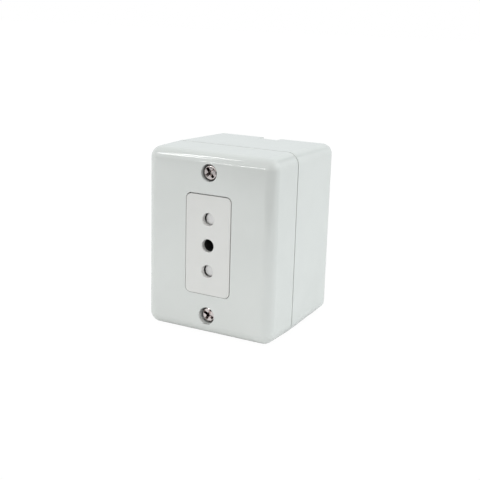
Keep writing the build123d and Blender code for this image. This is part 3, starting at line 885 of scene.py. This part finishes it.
for side in (1, -1):
    in_wall = HALF_HEIGHT - WALL / 2 - WALL_LEAN
    tower = [arch_loop(side, SCREW_HEIGHT, in_wall, depth) for depth in (SEAM, TOWER_FOOT)]
    tower.append(arch_loop(side, SCREW_HEIGHT, in_wall, TOWER_TIP, TIP_SHARE))
    combine(rear_box, closed(tower), "UNION")
    bush = [round_loop(0, side * SCREW_HEIGHT, BUSH_RADIUS, depth) for depth in (BUSH_REAR, SEAM + PAST)]
    combine(rear_box, closed(bush), "DIFFERENCE")
    slot_end = HALF_HEIGHT + PAST
    slot = [arch_loop(side, SLOT_HEIGHT, slot_end, depth) for depth in (-PAST, SLOT_TOP)]
    combine(rear_box, closed(slot), "DIFFERENCE")
    notch_heights = (side * (HALF_HEIGHT - 2 * WALL), side * (HALF_HEIGHT + PAST))
    notch = [square_loop((-HALF_ENTRY, HALF_ENTRY), notch_heights, d) for d in (-PAST, NOTCH_DEPTH)]
    combine(rear_box, closed(notch), "DIFFERENCE")
smooth(rear_box)
settle(rear_box, "housing", "back_box")

# %% [markdown]
# The insert's front moulding nearly fills the window. Behind its flat face, with three pin
# holes in line, come the flange that the hooks hold and a skirt round the shutter's room.
# It is one skin from the face over flange and skirt and back up inside to the face. Each
# step is a rounded rectangle: half width, half height, corner radius, and its depth. Blocks
# joined by unions would give the same form, but a list of steps reads like the drawing of
# its mould. Two pilot holes in the flange take the screws that hold the base.

# %% Insert, front moulding
FACE_EDGE = 0.12
FACE_THICKNESS = 1.8
FACE_INSIDE = FACE_FRONT - FACE_THICKNESS
POCKET_FRONT = SEAT - 1.2
FLANGE = (12.4, 20.55, 1.9)
SKIRT = (11.4, 15.6, 0.3)
SKIRT_INSIDE = (10.4, 14.6, 0.2)
POCKET = (7.6, 14.6, 0.2)
PILOT_HEIGHT, PILOT_RADIUS, PILOT_END = 16.6, 0.93, 47.03

face_size = (FACE_HALF_WIDTH, FACE_HALF_HEIGHT, FACE_CORNER)
insert_steps = [
    (face_size, SEAT), (FLANGE, SEAT), (FLANGE, FLANGE_BACK), (SKIRT, FLANGE_BACK),
    (SKIRT, BASE_FRONT), (SKIRT_INSIDE, BASE_FRONT), (SKIRT_INSIDE, POCKET_FRONT),
    (POCKET, POCKET_FRONT), (POCKET, FACE_INSIDE),
]
insert_loops = [
    rounded_loop(*(size - i for size in face_size), FACE_FRONT - s)
    for i, s in reversed(quarter(FACE_EDGE))
]
insert_loops += [rounded_loop(*size, depth) for size, depth in insert_steps]
insert = bmesh.new()
rings = skin(insert, insert_loops)
pin_holes = []
for z in (PIN_PITCH, 0, -PIN_PITCH):
    hole = [round_loop(0, z, PIN_RADIUS + i, FACE_FRONT - s) for i, s in reversed(quarter(RIM))]
    pin_holes.append(skin(insert, hole + [round_loop(0, z, PIN_RADIUS, FACE_INSIDE)]))
flat_fill(insert, rings[0], *(hole[0] for hole in pin_holes))
flat_fill(insert, rings[-1], *(hole[-1] for hole in pin_holes))
insert_face = new_piece("insert_face_moulding", insert, face_plastic)
for z in (PILOT_HEIGHT, -PILOT_HEIGHT):
    pilot = [round_loop(0, z, PILOT_RADIUS, depth) for depth in (FLANGE_BACK - PAST, PILOT_END)]
    combine(insert_face, closed(pilot), "DIFFERENCE")
smooth(insert_face)
settle(insert_face, "insert_face", "socket_face")

# %% [markdown]
# The shutter is one small moulding: a spine, a stepped plate towards each outer hole, a
# round button that closes the hole, and a wing at each end that runs in a 45 degree slot.
# Its slide runs back and to the right, so two springs lie along that line. Its sizes and
# the springs' places could be typed in where they are used, but the springs' own cells need
# them too, so they come first.

# %% Shutter, sizes
SLIDE_TURN = Matrix.Rotation(math.radians(45), 4, "Z") @ Matrix.Rotation(math.radians(90), 4, "Y")
DIAGONAL = math.sqrt(0.5)
SHUTTER_BACK, SHUTTER_FRONT = 44.2, 46.3
SPRING_START = (-1.2, -44.7)
SPRING_HEIGHT = 5.0
POCKET_RADIUS = 1.3
POCKET_LENGTH = 12.0
BUTTON = PIN_RADIUS - 0.25
BUTTON_EDGE = 0.35
BUTTON_BACK = SHUTTER_BACK + 0.3
SPINE = 3.4
SPINE_WIDTH = 1.4
PLATE_END = PIN_PITCH + 2.6
PLATE_DROP, END_DROP = 0.45, 1.1
WING_X, WING_DEPTH = -0.4, 45.0
WING_HALF_LENGTH, WING_HALF_THICKNESS = 0.9, 0.8
WING_REACH = 1.7
OVERLAP = 0.01
PLATE_OVERLAP = 0.2
WING_OVERLAP = 0.05


def spring_place(side):
    """Where a spring starts in the shutter, its axis along the slide."""
    return Matrix.Translation(Vector((*SPRING_START, side * SPRING_HEIGHT)) * MM) @ SLIDE_TURN


print("slide starts at mm", SPRING_START, "buttons of radius mm", round(BUTTON, 2))

# %% [markdown]
# The shutter's forms stand at all angles to each other, so no single skin can run over them.
# It is built as its mould is cut, one solid after the other, and each is joined by a union.
# The buttons catch the light in the holes, so their rims are rounded.

# %% Shutter, solids
def shutter_block(x_range, z_range, depths):
    """Block of the shutter between two depths."""
    return closed([square_loop(x_range, z_range, depth) for depth in depths])


spine_block = shutter_block(
    (SPINE, SPINE + SPINE_WIDTH), (-PLATE_END, PLATE_END), (SHUTTER_BACK, SHUTTER_FRONT)
)
shutter = new_piece("shutter_moulding", spine_block, shutter_plastic)
plates = [
    (PLATE_DROP, (SPINE, PIN_PITCH + OVERLAP)),
    (END_DROP, (PIN_PITCH - OVERLAP, PLATE_END - OVERLAP)),
]
wing_corners = [(-1, -1), (1, -1), (1, 1), (-1, 1)]
wing = []
for along, across in wing_corners:
    a, b = along * WING_HALF_LENGTH, across * WING_HALF_THICKNESS
    wing.append((WING_X + (a + b) * DIAGONAL, WING_DEPTH + (b - a) * DIAGONAL))
for side in (1, -1):
    for drop, ends in plates:
        heights = [side * end for end in ends]
        depths = (SHUTTER_BACK, SHUTTER_FRONT - drop)
        combine(shutter, shutter_block((-BUTTON, SPINE + PLATE_OVERLAP), heights, depths), "UNION")
    button = [round_loop(0, side * PIN_PITCH, BUTTON, BUTTON_BACK)]
    button += [
        round_loop(0, side * PIN_PITCH, BUTTON - i, SHUTTER_FRONT - s) for i, s in quarter(BUTTON_EDGE)
    ]
    combine(shutter, closed(button), "UNION")
    wing_ends = (side * (PLATE_END - WING_OVERLAP), side * (PLATE_END + WING_REACH))
    combine(shutter, prism(wing, wing_ends), "UNION")
print("shutter has", len(shutter.data.polygons), "faces before its pockets")

# %% [markdown]
# Each spring starts in a round pocket of the shutter. It runs along the slide, so its rings
# are turned with the spring. Edges of so small a moulding are never sharp: a fine bevel on
# every steep edge is quicker than rounding each solid, and each edge catches a thin light.

# %% Shutter, pockets and edges
POCKET_STEPS = 32
BEVEL_WIDTH = 0.08
BEVEL_DEGREES = 50
turns = [2 * math.pi * step / POCKET_STEPS for step in range(POCKET_STEPS)]
circle = [(POCKET_RADIUS * math.cos(turn), POCKET_RADIUS * math.sin(turn)) for turn in turns]
for side in (1, -1):
    pocket = [
        [spring_place(side) @ (Vector((x, y, height)) * MM) for x, y in circle]
        for height in (0.0, POCKET_LENGTH)
    ]
    combine(shutter, closed(pocket), "DIFFERENCE")
bevel = shutter.modifiers.new("bevel", "BEVEL")
bevel.width = BEVEL_WIDTH * MM
bevel.segments = 2
bevel.limit_method = "ANGLE"
bevel.angle_limit = math.radians(BEVEL_DEGREES)
plain_mesh(shutter)
smooth(shutter)
settle(shutter, "shutter", "shutter", body=SHUTTER)

# %% [markdown]
# Screws and springs repeat. Each could be a mesh made by a Python loop and then copied, but
# a generator in Geometry Nodes keeps its sizes as named inputs that can still be changed in
# the editor. These helpers make such a node group, lay out its copies, and turn a group
# with its values into one plain mesh in its place.

# %% Generator helpers
def new_group(name, inputs):
    """Node group with these (name, kind) inputs beside its geometry."""
    group = bpy.data.node_groups.new(name, "GeometryNodeTree")
    group.interface.new_socket("Geometry", in_out="INPUT", socket_type="NodeSocketGeometry")
    group.interface.new_socket("Geometry", in_out="OUTPUT", socket_type="NodeSocketGeometry")
    for label, kind in inputs:
        group.interface.new_socket(label, in_out="INPUT", socket_type="NodeSocket" + kind)
    return group, group.nodes.new("NodeGroupInput").outputs


def place_copies(group, shape, count, start, offset, turn, material):
    """Sets copies of the shape along a line, makes them real and gives them their material."""
    line = add_node(group, "GeometryNodeMeshLine", {"mode": "OFFSET"}, {
        "Count": count, "Start Location": start, "Offset": offset,
    }).outputs[0]
    copies = add_node(group, "GeometryNodeInstanceOnPoints", inputs={
        "Points": line, "Instance": shape, "Rotation": turn,
    }).outputs[0]
    real = add_node(group, "GeometryNodeRealizeInstances", inputs={"Geometry": copies}).outputs[0]
    finished = add_node(group, "GeometryNodeSetMaterial", inputs={
        "Geometry": real, "Material": material,
    }).outputs[0]
    add_node(group, "NodeGroupOutput", inputs={"Geometry": finished})


def grow(name, group, place, **values):
    """Runs the group with these values and moves its mesh to its place."""
    piece = bpy.data.objects.new(name, bpy.data.meshes.new(name))
    bpy.context.scene.collection.objects.link(piece)
    generator = piece.modifiers.new("generator", "NODES")
    generator.node_group = group
    for item in group.interface.items_tree:
        key = item.name.lower().replace(" ", "_")
        if item.in_out == "INPUT" and key in values:
            generator[item.identifier] = values[key]
    plain_mesh(piece)
    piece.data.transform(place)
    return piece


print("helpers for node groups are ready")

# %% [markdown]
# A screw is turned, its recess is struck into the head, and its thread is rolled. The
# generator follows these steps in four cells. Its inputs are the sizes that a screw maker
# would name, so one group makes all the screws here.

# %% Screw generator, inputs
group, given = new_group("screw", [
    ("Count", "Int"), ("Spacing", "Float"), ("Lift Step", "Float"),
    ("First Turn", "Float"), ("Turn Step", "Float"),
    ("Head Radius", "Float"), ("Head Height", "Float"), ("Head Edge", "Float"),
    ("Shank Radius", "Float"), ("Length", "Float"), ("Thread Length", "Float"),
    ("Thread Pitch", "Float"), ("Thread Depth", "Float"),
    ("Blades", "Int"), ("Blade Length", "Float"), ("Blade Width", "Float"),
    ("Blade Depth", "Float"), ("Blade Taper", "Float"), ("Material", "Material"),
])
print("screw generator has", len(given) - 1, "inputs")

# %% [markdown]
# The head is flat below, straight at its side and rounded above. A profile could be
# revolved, but a cylinder with rows is simpler: its lowest row becomes the straight side,
# and the other rows bend along a quarter turn into the rounded edge.

# %% Screw generator, head
ROWS = 8
HEAD_STEPS = 72
blank = add_node(group, "GeometryNodeMeshCylinder", inputs={
    "Vertices": HEAD_STEPS, "Side Segments": ROWS, "Radius": given["Head Radius"], "Depth": 1.0,
}).outputs["Mesh"]
point = result(group, "GeometryNodeInputPosition")
x, y, z = add_node(group, "ShaderNodeSeparateXYZ", inputs={0: point}).outputs
row = result(group, "ShaderNodeMath", z, ROWS, ROWS / 2, operation="MULTIPLY_ADD")
bend = add_node(group, "ShaderNodeMapRange", inputs={
    "Value": row, "From Min": 1.0, "From Max": ROWS, "To Max": math.pi / 2,
}).outputs["Result"]
side_height = result(group, "ShaderNodeMath", given["Head Height"], given["Head Edge"], operation="SUBTRACT")
side_share = result(group, "ShaderNodeMath", row, 1.0, operation="MINIMUM")
straight = result(group, "ShaderNodeMath", side_share, side_height, operation="MULTIPLY")
sine = result(group, "ShaderNodeMath", bend, operation="SINE")
rise = result(group, "ShaderNodeMath", sine, given["Head Edge"], straight, operation="MULTIPLY_ADD")
cosine = result(group, "ShaderNodeMath", bend, operation="COSINE")
drawn_in = result(group, "ShaderNodeMath", 1.0, cosine, operation="SUBTRACT")
edge_share = result(group, "ShaderNodeMath", given["Head Edge"], given["Head Radius"], operation="DIVIDE")
loss = result(group, "ShaderNodeMath", drawn_in, edge_share, operation="MULTIPLY")
share = result(group, "ShaderNodeMath", 1.0, loss, operation="SUBTRACT")
narrow_x = result(group, "ShaderNodeMath", x, share, operation="MULTIPLY")
narrow_y = result(group, "ShaderNodeMath", y, share, operation="MULTIPLY")
bent = result(group, "ShaderNodeCombineXYZ", narrow_x, narrow_y, rise)
head = add_node(group, "GeometryNodeSetPosition", inputs={"Geometry": blank, "Position": bent}).outputs[0]
print("head is turned from", HEAD_STEPS, "by", ROWS, "faces")

# %% [markdown]
# The punch of a recess is narrower at its tip. One blade of it is a cube whose lower end is
# narrowed, from the recess's bottom to just past the top of the head. One blade leaves a
# slot, and two at right angles leave a cross. A bump map would be quicker, but it has no
# depth, and the dark corners of the cross are what the eye sees.

# %% Screw generator, recess
CLEAR_OF_HEAD = 0.05
cube = add_node(group, "GeometryNodeMeshCube", inputs={"Size": (1.0, 1.0, 1.0)}).outputs["Mesh"]
point = result(group, "GeometryNodeInputPosition")
x, y, z = add_node(group, "ShaderNodeSeparateXYZ", inputs={0: point}).outputs
up = result(group, "ShaderNodeMath", z, 0.5, operation="ADD")
narrowing = add_node(group, "ShaderNodeMapRange", inputs={
    "Value": up, "To Min": given["Blade Taper"], "To Max": 1.0,
}).outputs["Result"]
full_length = result(group, "ShaderNodeMath", x, given["Blade Length"], operation="MULTIPLY")
length = result(group, "ShaderNodeMath", full_length, narrowing, operation="MULTIPLY")
width = result(group, "ShaderNodeMath", y, given["Blade Width"], operation="MULTIPLY")
bottom = result(group, "ShaderNodeMath", given["Head Height"], given["Blade Depth"], operation="SUBTRACT")
top = result(group, "ShaderNodeMath", given["Head Height"], CLEAR_OF_HEAD * MM, operation="ADD")
height = add_node(group, "ShaderNodeMapRange", inputs={
    "Value": up, "To Min": bottom, "To Max": top,
}).outputs["Result"]
blade = add_node(group, "GeometryNodeSetPosition", inputs={
    "Geometry": cube, "Position": result(group, "ShaderNodeCombineXYZ", length, width, height),
}).outputs[0]
one_place = add_node(group, "GeometryNodeMeshLine", {"mode": "OFFSET"}, {
    "Count": given["Blades"], "Offset": (0.0, 0.0, 0.0),
}).outputs[0]
number = result(group, "GeometryNodeInputIndex")
right_angle = result(group, "ShaderNodeMath", number, math.pi / 2, operation="MULTIPLY")
blades = add_node(group, "GeometryNodeInstanceOnPoints", inputs={
    "Points": one_place, "Instance": blade,
    "Rotation": result(group, "ShaderNodeCombineXYZ", 0.0, 0.0, right_angle),
}).outputs[0]
punch = add_node(group, "GeometryNodeRealizeInstances", inputs={"Geometry": blades}).outputs[0]
struck = add_node(group, "GeometryNodeMeshBoolean", {"operation": "DIFFERENCE", "solver": "EXACT"}, {
    0: head, 1: punch, "Self Intersection": True,
}).outputs[0]
print("recess stands clear of the head by mm", CLEAR_OF_HEAD)

# %% [markdown]
# The thread could be stacked rings, which look alike from afar, but a rolled thread is one
# ridge that climbs. So a diamond runs along a helix round a core, and its crest is as wide
# as the screw's diameter. It ends one thread depth above the tip.

# %% Screw generator, shank and thread
SHANK_STEPS = 48
TURN_STEPS = 32
core = result(group, "ShaderNodeMath", given["Shank Radius"], given["Thread Depth"], operation="SUBTRACT")
bar = add_node(group, "GeometryNodeMeshCylinder", inputs={
    "Vertices": SHANK_STEPS, "Radius": core, "Depth": given["Length"],
}).outputs["Mesh"]
half_down = result(group, "ShaderNodeMath", given["Length"], -0.5, operation="MULTIPLY")
shank = add_node(group, "GeometryNodeTransform", inputs={
    "Geometry": bar, "Translation": result(group, "ShaderNodeCombineXYZ", 0.0, 0.0, half_down),
}).outputs[0]
turns = result(group, "ShaderNodeMath", given["Thread Length"], given["Thread Pitch"], operation="DIVIDE")
helix = add_node(group, "GeometryNodeCurveSpiral", inputs={
    "Resolution": TURN_STEPS, "Rotations": turns, "Start Radius": core, "End Radius": core,
    "Height": given["Thread Length"],
}).outputs[0]
diamond = add_node(group, "GeometryNodeCurvePrimitiveCircle", inputs={
    "Resolution": 4, "Radius": given["Thread Depth"],
}).outputs[0]
ridge = add_node(group, "GeometryNodeCurveToMesh", inputs={
    "Curve": helix, "Profile Curve": diamond, "Fill Caps": True,
}).outputs[0]
start = result(group, "ShaderNodeMath", given["Thread Depth"], given["Length"], operation="SUBTRACT")
thread = add_node(group, "GeometryNodeTransform", inputs={
    "Geometry": ridge, "Translation": result(group, "ShaderNodeCombineXYZ", 0.0, 0.0, start),
}).outputs[0]
print("a thread turn has", TURN_STEPS, "steps")

# %% [markdown]
# Screws of one kind stand in a row, and no two were driven to the same angle. So the group
# ends by setting the whole screw along a line and turning each copy by its number.

# %% Screw generator, row of screws
whole = group.nodes.new("GeometryNodeJoinGeometry")
for part in (thread, shank, struck):
    group.links.new(part, whole.inputs[0])
gaps = result(group, "ShaderNodeMath", given["Count"], 1.0, operation="SUBTRACT")
half_row = result(group, "ShaderNodeMath", gaps, -0.5, operation="MULTIPLY")
row_start = result(group, "ShaderNodeMath", half_row, given["Spacing"], operation="MULTIPLY")
number = result(group, "GeometryNodeInputIndex")
degrees = result(
    group, "ShaderNodeMath", number, given["Turn Step"], given["First Turn"], operation="MULTIPLY_ADD"
)
turn = result(group, "ShaderNodeMath", degrees, operation="RADIANS")
place_copies(
    group, whole.outputs[0], given["Count"],
    start=result(group, "ShaderNodeCombineXYZ", 0.0, row_start, 0.0),
    offset=result(group, "ShaderNodeCombineXYZ", 0.0, given["Spacing"], given["Lift Step"]),
    turn=result(group, "ShaderNodeCombineXYZ", 0.0, 0.0, turn), material=given["Material"],
)
screws = group
print("screw generator has", len(screws.nodes), "nodes")

# %% [markdown]
# One generator makes all three kinds. The cover screws have a cross recess. They stopped
# at different angles, and the upper one stands a little higher than the lower. The insert's
# two screws and the three terminal screws are slotted. Each kind is turned to the way its
# heads point.

# %% Screws
ROOMWARDS = Matrix.Rotation(math.radians(90), 4, "X")
WALLWARDS = Matrix.Rotation(math.radians(-90), 4, "X")
SIDEWARDS = Matrix.Rotation(math.radians(90), 4, "Z") @ ROOMWARDS
NOT_LENGTHS = ("count", "first_turn", "turn_step", "blades", "blade_taper")
SCREW_SHARP_DEGREES = 35
INSERT_SCREW_SEAT = 35.5
TERMINAL_HEAD = 1.7


def screw_set(name, seat, way, metal, **values):
    """Screws of one kind, seated here, their heads pointing this way. Lengths are in mm."""
    values = {key: value if key in NOT_LENGTHS else value * MM for key, value in values.items()}
    place = Matrix.Translation(Vector(seat) * MM) @ way
    piece = grow(name, screws, place, material=metal, **values)
    smooth(piece, SCREW_SHARP_DEGREES)
    return piece


cover_screws = screw_set(
    "cover_screws", (0, -SCREW_SEAT, 0), ROOMWARDS, nickel,
    count=2, spacing=2 * SCREW_HEIGHT, lift_step=0.6, first_turn=62.0, turn_step=-24.0,
    head_radius=2.85, head_height=1.9, head_edge=0.8, shank_radius=1.5, length=20.0,
    thread_length=13.0, thread_pitch=0.5, thread_depth=0.22,
    blades=2, blade_length=4.4, blade_width=1.1, blade_depth=1.7, blade_taper=0.5,
)
settle(cover_screws, "plated_screw", "cover_screw_top", "cover_screw_bottom")
insert_screws = screw_set(
    "insert_screws", (0, -INSERT_SCREW_SEAT, 0), WALLWARDS, zinc,
    count=2, spacing=2 * PILOT_HEIGHT, lift_step=0.0, first_turn=25.0, turn_step=50.0,
    head_radius=1.7, head_height=1.3, head_edge=0.3, shank_radius=0.9, length=11.5,
    thread_length=9.0, thread_pitch=0.6, thread_depth=0.18,
    blades=1, blade_length=3.6, blade_width=0.55, blade_depth=0.65, blade_taper=1.0,
)
settle(insert_screws, "steel", "base_screw_top", "base_screw_bottom")
screw_low, screw_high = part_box("terminal_screw_earth")
head_rear = screw_high.x / MM - TERMINAL_HEAD
screw_middle = (screw_low.y + screw_high.y) / 2 / MM
terminal_screws = screw_set(
    "terminal_screws", (head_rear, screw_middle, 0), SIDEWARDS, zinc,
    count=3, spacing=PIN_PITCH, lift_step=0.0, first_turn=12.0, turn_step=31.0,
    head_radius=2.3, head_height=TERMINAL_HEAD, head_edge=0.35, shank_radius=1.5,
    length=(screw_high.x - screw_low.x) / MM - TERMINAL_HEAD,
    thread_length=3.4, thread_pitch=0.5, thread_depth=0.22,
    blades=1, blade_length=4.8, blade_width=0.77, blade_depth=0.85, blade_taper=1.0,
)
terminal_nodes = ["terminal_screw_" + wire for wire in ("live", "earth", "neutral")]
settle(terminal_screws, "steel", *terminal_nodes)

# %% [markdown]
# The shutter's springs are wound from drawn wire, with one closed turn at each end so that
# they push evenly. The generator draws a spiral that rises by one a turn and then spaces
# its turns: the end turns lie wire on wire, and the others share the rest of the length. A
# Screw modifier could wind it too, but with one even pitch and no closed ends.

# %% Spring generator, turns
COIL_STEPS = 40
group, given = new_group("spring", [
    ("Count", "Int"), ("Spacing", "Float"), ("Coil Radius", "Float"), ("Wire Radius", "Float"),
    ("Length", "Float"), ("Turns", "Int"), ("Material", "Material"),
])
spiral = add_node(group, "GeometryNodeCurveSpiral", inputs={
    "Resolution": COIL_STEPS, "Rotations": given["Turns"], "Start Radius": given["Coil Radius"],
    "End Radius": given["Coil Radius"], "Height": given["Turns"],
}).outputs[0]
point = result(group, "GeometryNodeInputPosition")
x, y, turn_number = add_node(group, "ShaderNodeSeparateXYZ", inputs={0: point}).outputs
wire = result(group, "ShaderNodeMath", given["Wire Radius"], 2.0, operation="MULTIPLY")
open_length = result(group, "ShaderNodeMath", wire, -3.0, given["Length"], operation="MULTIPLY_ADD")
open_turns = result(group, "ShaderNodeMath", given["Turns"], 2.0, operation="SUBTRACT")
pitch = result(group, "ShaderNodeMath", open_length, open_turns, operation="DIVIDE")
last_start = result(group, "ShaderNodeMath", given["Turns"], 1.0, operation="SUBTRACT")
past_last_start = result(group, "ShaderNodeMath", turn_number, last_start, operation="SUBTRACT")
first = result(group, "ShaderNodeMath", turn_number, 1.0, operation="MINIMUM")
last = result(group, "ShaderNodeMath", past_last_start, 0.0, operation="MAXIMUM")
closed_turns = result(group, "ShaderNodeMath", first, last, operation="ADD")
middle = result(group, "ShaderNodeMath", turn_number, closed_turns, operation="SUBTRACT")
middle_rise = result(group, "ShaderNodeMath", middle, pitch, operation="MULTIPLY")
rise = result(group, "ShaderNodeMath", closed_turns, wire, middle_rise, operation="MULTIPLY_ADD")
height = result(group, "ShaderNodeMath", rise, given["Wire Radius"], operation="ADD")
coil = add_node(group, "GeometryNodeSetPosition", inputs={
    "Geometry": spiral, "Position": result(group, "ShaderNodeCombineXYZ", x, y, height),
}).outputs[0]
print("a turn of the coil has", COIL_STEPS, "steps")

# %% [markdown]
# The spiral is only a line. A curve's bevel could give it thickness, but a round section that
# is swept along it stays in the generator. Two springs lie side by side, so it ends with a
# row of copies, as the screws do.

# %% Spring generator, wire
WIRE_STEPS = 10
section = add_node(group, "GeometryNodeCurvePrimitiveCircle", inputs={
    "Resolution": WIRE_STEPS, "Radius": given["Wire Radius"],
}).outputs[0]
wound = add_node(group, "GeometryNodeCurveToMesh", inputs={
    "Curve": coil, "Profile Curve": section, "Fill Caps": True,
}).outputs[0]
half_apart = result(group, "ShaderNodeMath", given["Spacing"], -0.5, operation="MULTIPLY")
place_copies(
    group, wound, given["Count"],
    start=result(group, "ShaderNodeCombineXYZ", half_apart, 0.0, 0.0),
    offset=result(group, "ShaderNodeCombineXYZ", given["Spacing"], 0.0, 0.0),
    turn=(0.0, 0.0, 0.0), material=given["Material"],
)
print("spring generator has", len(group.nodes), "nodes")

# %% [markdown]
# The two springs start in the shutter's pockets and lie along its slide.

# %% Springs in place
SPRING_LENGTH = 10.0
SPRING_SHARP_DEGREES = 60
spring_line = Vector((*SPRING_START, 0)) * MM
springs = grow(
    "shutter_springs", group, Matrix.Translation(spring_line) @ SLIDE_TURN,
    count=2, spacing=2 * SPRING_HEIGHT * MM, coil_radius=0.95 * MM, wire_radius=0.15 * MM,
    length=SPRING_LENGTH * MM, turns=8, material=music_wire,
)
smooth(springs, SPRING_SHARP_DEGREES)
settle(springs, "spring_steel", "shutter_spring_upper", "shutter_spring_lower")
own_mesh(springs)
